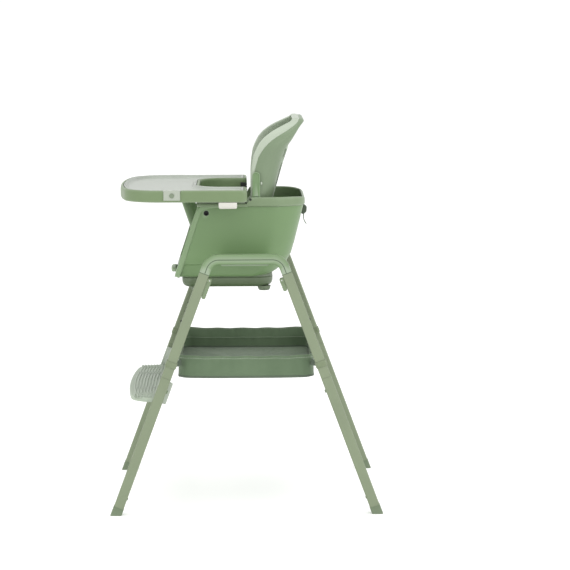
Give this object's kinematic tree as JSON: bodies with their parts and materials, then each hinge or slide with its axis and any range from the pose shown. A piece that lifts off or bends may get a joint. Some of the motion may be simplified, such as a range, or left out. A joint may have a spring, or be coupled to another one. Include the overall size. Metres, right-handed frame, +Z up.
{
  "type": "baby high chair",
  "caption": "Baby high chair with a reclining backrest scoop, sliding tray, footrest and fabric basket on two n-shaped leg frames.",
  "frame": {"origin": "middle of the floor rectangle between the four feet", "axes": "+Z up, -Y the way the child faces, +X the child's left"},
  "size_m": [0.5878, 0.6838, 0.981],
  "materials": {
    "body_plastic": "fine satin, sage green",
    "leg_tube": "satin powder coat, greyer sage",
    "foot_plastic": "satin, sage",
    "core_steel": "plain",
    "button_plastic": "satin",
    "dark_plastic": "satin black",
    "webbing": "woven webbing, dark",
    "loop_webbing": "woven webbing, pale",
    "foot_rubber": "matt",
    "insert_plastic": "translucent, glossy",
    "dot_plastic": "gloss",
    "lever_plastic": "satin cream",
    "footrest_plastic": "satin, pale grey-green",
    "basket_fabric": "coated woven fabric, dark sage"
  },
  "bodies": {
    "chair": {"base_feet": "foot_rubber", "basket": "basket_fabric", "basket_straps": "webbing", "bridge_cores": "core_steel", "bridge_covers_inner": "body_plastic", "bridge_covers_outer": "body_plastic", "catch_ears": "body_plastic", "catch_pins": "core_steel", "cradle_arms": "body_plastic", "crotch_post": "body_plastic", "foot_caps": "foot_plastic", "harness_buckle": "dark_plastic", "hinge_pins": "core_steel", "leg_joiners": "core_steel", "leg_loops": "loop_webbing", "lower_leg_front_left": "leg_tube", "lower_leg_front_right": "leg_tube", "lower_leg_rear_left": "leg_tube", "lower_leg_rear_right": "leg_tube", "rear_clip": "dark_plastic", "rear_strap": "webbing", "recline_racks": "body_plastic", "rim_tabs": "body_plastic", "seat_base": "body_plastic", "seat_bowl": "body_plastic", "seat_screws": "core_steel", "seat_straps": "webbing", "side_sockets": "dark_plastic", "tray_rails": "body_plastic", "upper_leg_front_left": "leg_tube", "upper_leg_front_right": "leg_tube", "upper_leg_rear_left": "leg_tube", "upper_leg_rear_right": "leg_tube"},
    "backrest": {"backrest_shell": "body_plastic", "hinge_ears": "body_plastic", "shoulder_straps": "webbing", "strap_fittings": "dark_plastic"},
    "recline_latch": {"latch_bar": "core_steel", "latch_handle": "body_plastic"},
    "tray": {"tray_base": "body_plastic", "arm_covers": "body_plastic", "tray_racks": "dark_plastic"},
    "insert": {"tray_insert": "insert_plastic", "clip_pins": "core_steel"},
    "clip_left": {"insert_clip_left": "insert_plastic", "clip_dot_left": "dot_plastic"},
    "clip_right": {"insert_clip_right": "insert_plastic", "clip_dot_right": "dot_plastic"},
    "lever_left": {"release_lever_left": "lever_plastic"},
    "lever_right": {"release_lever_right": "lever_plastic"},
    "footrest": {"footrest_tread": "footrest_plastic", "footrest_brackets": "footrest_plastic"},
    "button_front_left": {"snap_button_front_left": "button_plastic"},
    "catch_front_left": {"leg_catch_front_left": "body_plastic"},
    "button_front_right": {"snap_button_front_right": "button_plastic"},
    "catch_front_right": {"leg_catch_front_right": "body_plastic"},
    "button_rear_left": {"snap_button_rear_left": "button_plastic"},
    "catch_rear_left": {"leg_catch_rear_left": "body_plastic"},
    "button_rear_right": {"snap_button_rear_right": "button_plastic"},
    "catch_rear_right": {"leg_catch_rear_right": "body_plastic"}
  },
  "joints": [
    {"name": "backrest_recline", "type": "hinge", "parent": "chair", "child": "backrest", "pos_m": [0, -0.002, 0.726], "axis": [-1, 0, 0], "range_deg": [0, 20.4]},
    {"name": "recline_latch_lift", "type": "slide", "parent": "backrest", "child": "recline_latch", "axis": [0, 0.8572, -0.515], "range_m": [0, 0.0045], "stiffness_N_per_m": 400, "springref_m": -0.004},
    {"name": "tray_slide", "type": "slide", "parent": "chair", "child": "tray", "axis": [0, -1, 0], "range_m": [0, 0.06]},
    {"name": "insert_lift", "type": "slide", "parent": "tray", "child": "insert", "axis": [0, 0, 1], "range_m": [0, 0.05]},
    {"name": "clip_left_swing", "type": "hinge", "parent": "insert", "child": "clip_left", "pos_m": [0.2495, -0.1816, 0.8092], "axis": [0, -1, 0], "range_deg": [0, 90]},
    {"name": "lever_left_pull", "type": "slide", "parent": "tray", "child": "lever_left", "axis": [1, 0, 0], "range_m": [0, 0.005], "stiffness_N_per_m": 300, "springref_m": -0.005},
    {"name": "clip_right_swing", "type": "hinge", "parent": "insert", "child": "clip_right", "pos_m": [-0.2495, -0.1816, 0.8092], "axis": [0, 1, 0], "range_deg": [0, 90]},
    {"name": "lever_right_pull", "type": "slide", "parent": "tray", "child": "lever_right", "axis": [-1, 0, 0], "range_m": [0, 0.005], "stiffness_N_per_m": 300, "springref_m": -0.005},
    {"name": "footrest_height", "type": "slide", "parent": "chair", "child": "footrest", "axis": [0, 0.3481, 0.9375], "range_m": [-0.06, 0.03]},
    {"name": "button_front_left_press", "type": "slide", "parent": "chair", "child": "button_front_left", "axis": [0, -0.9375, 0.3481], "range_m": [0, 0.0035], "stiffness_N_per_m": 500, "springref_m": -0.002},
    {"name": "catch_front_left_open", "type": "hinge", "parent": "chair", "child": "catch_front_left", "pos_m": [0.281, -0.08916, 0.59073], "axis": [1, 0, 0], "range_deg": [0, 12], "stiffness_Nm_per_rad": 0.5, "springref_deg": -5.73},
    {"name": "button_front_right_press", "type": "slide", "parent": "chair", "child": "button_front_right", "axis": [0, -0.9375, 0.3481], "range_m": [0, 0.0035], "stiffness_N_per_m": 500, "springref_m": -0.002},
    {"name": "catch_front_right_open", "type": "hinge", "parent": "chair", "child": "catch_front_right", "pos_m": [-0.281, -0.08916, 0.59073], "axis": [1, 0, 0], "range_deg": [0, 12], "stiffness_Nm_per_rad": 0.5, "springref_deg": -5.73},
    {"name": "button_rear_left_press", "type": "slide", "parent": "chair", "child": "button_rear_left", "axis": [0, 0.9375, 0.3481], "range_m": [0, 0.0035], "stiffness_N_per_m": 500, "springref_m": -0.002},
    {"name": "catch_rear_left_open", "type": "hinge", "parent": "chair", "child": "catch_rear_left", "pos_m": [0.281, 0.08916, 0.59073], "axis": [-1, 0, 0], "range_deg": [0, 12], "stiffness_Nm_per_rad": 0.5, "springref_deg": -5.73},
    {"name": "button_rear_right_press", "type": "slide", "parent": "chair", "child": "button_rear_right", "axis": [0, 0.9375, 0.3481], "range_m": [0, 0.0035], "stiffness_N_per_m": 500, "springref_m": -0.002},
    {"name": "catch_rear_right_open", "type": "hinge", "parent": "chair", "child": "catch_rear_right", "pos_m": [-0.281, 0.08916, 0.59073], "axis": [-1, 0, 0], "range_deg": [0, 12], "stiffness_Nm_per_rad": 0.5, "springref_deg": -5.73}
  ]
}
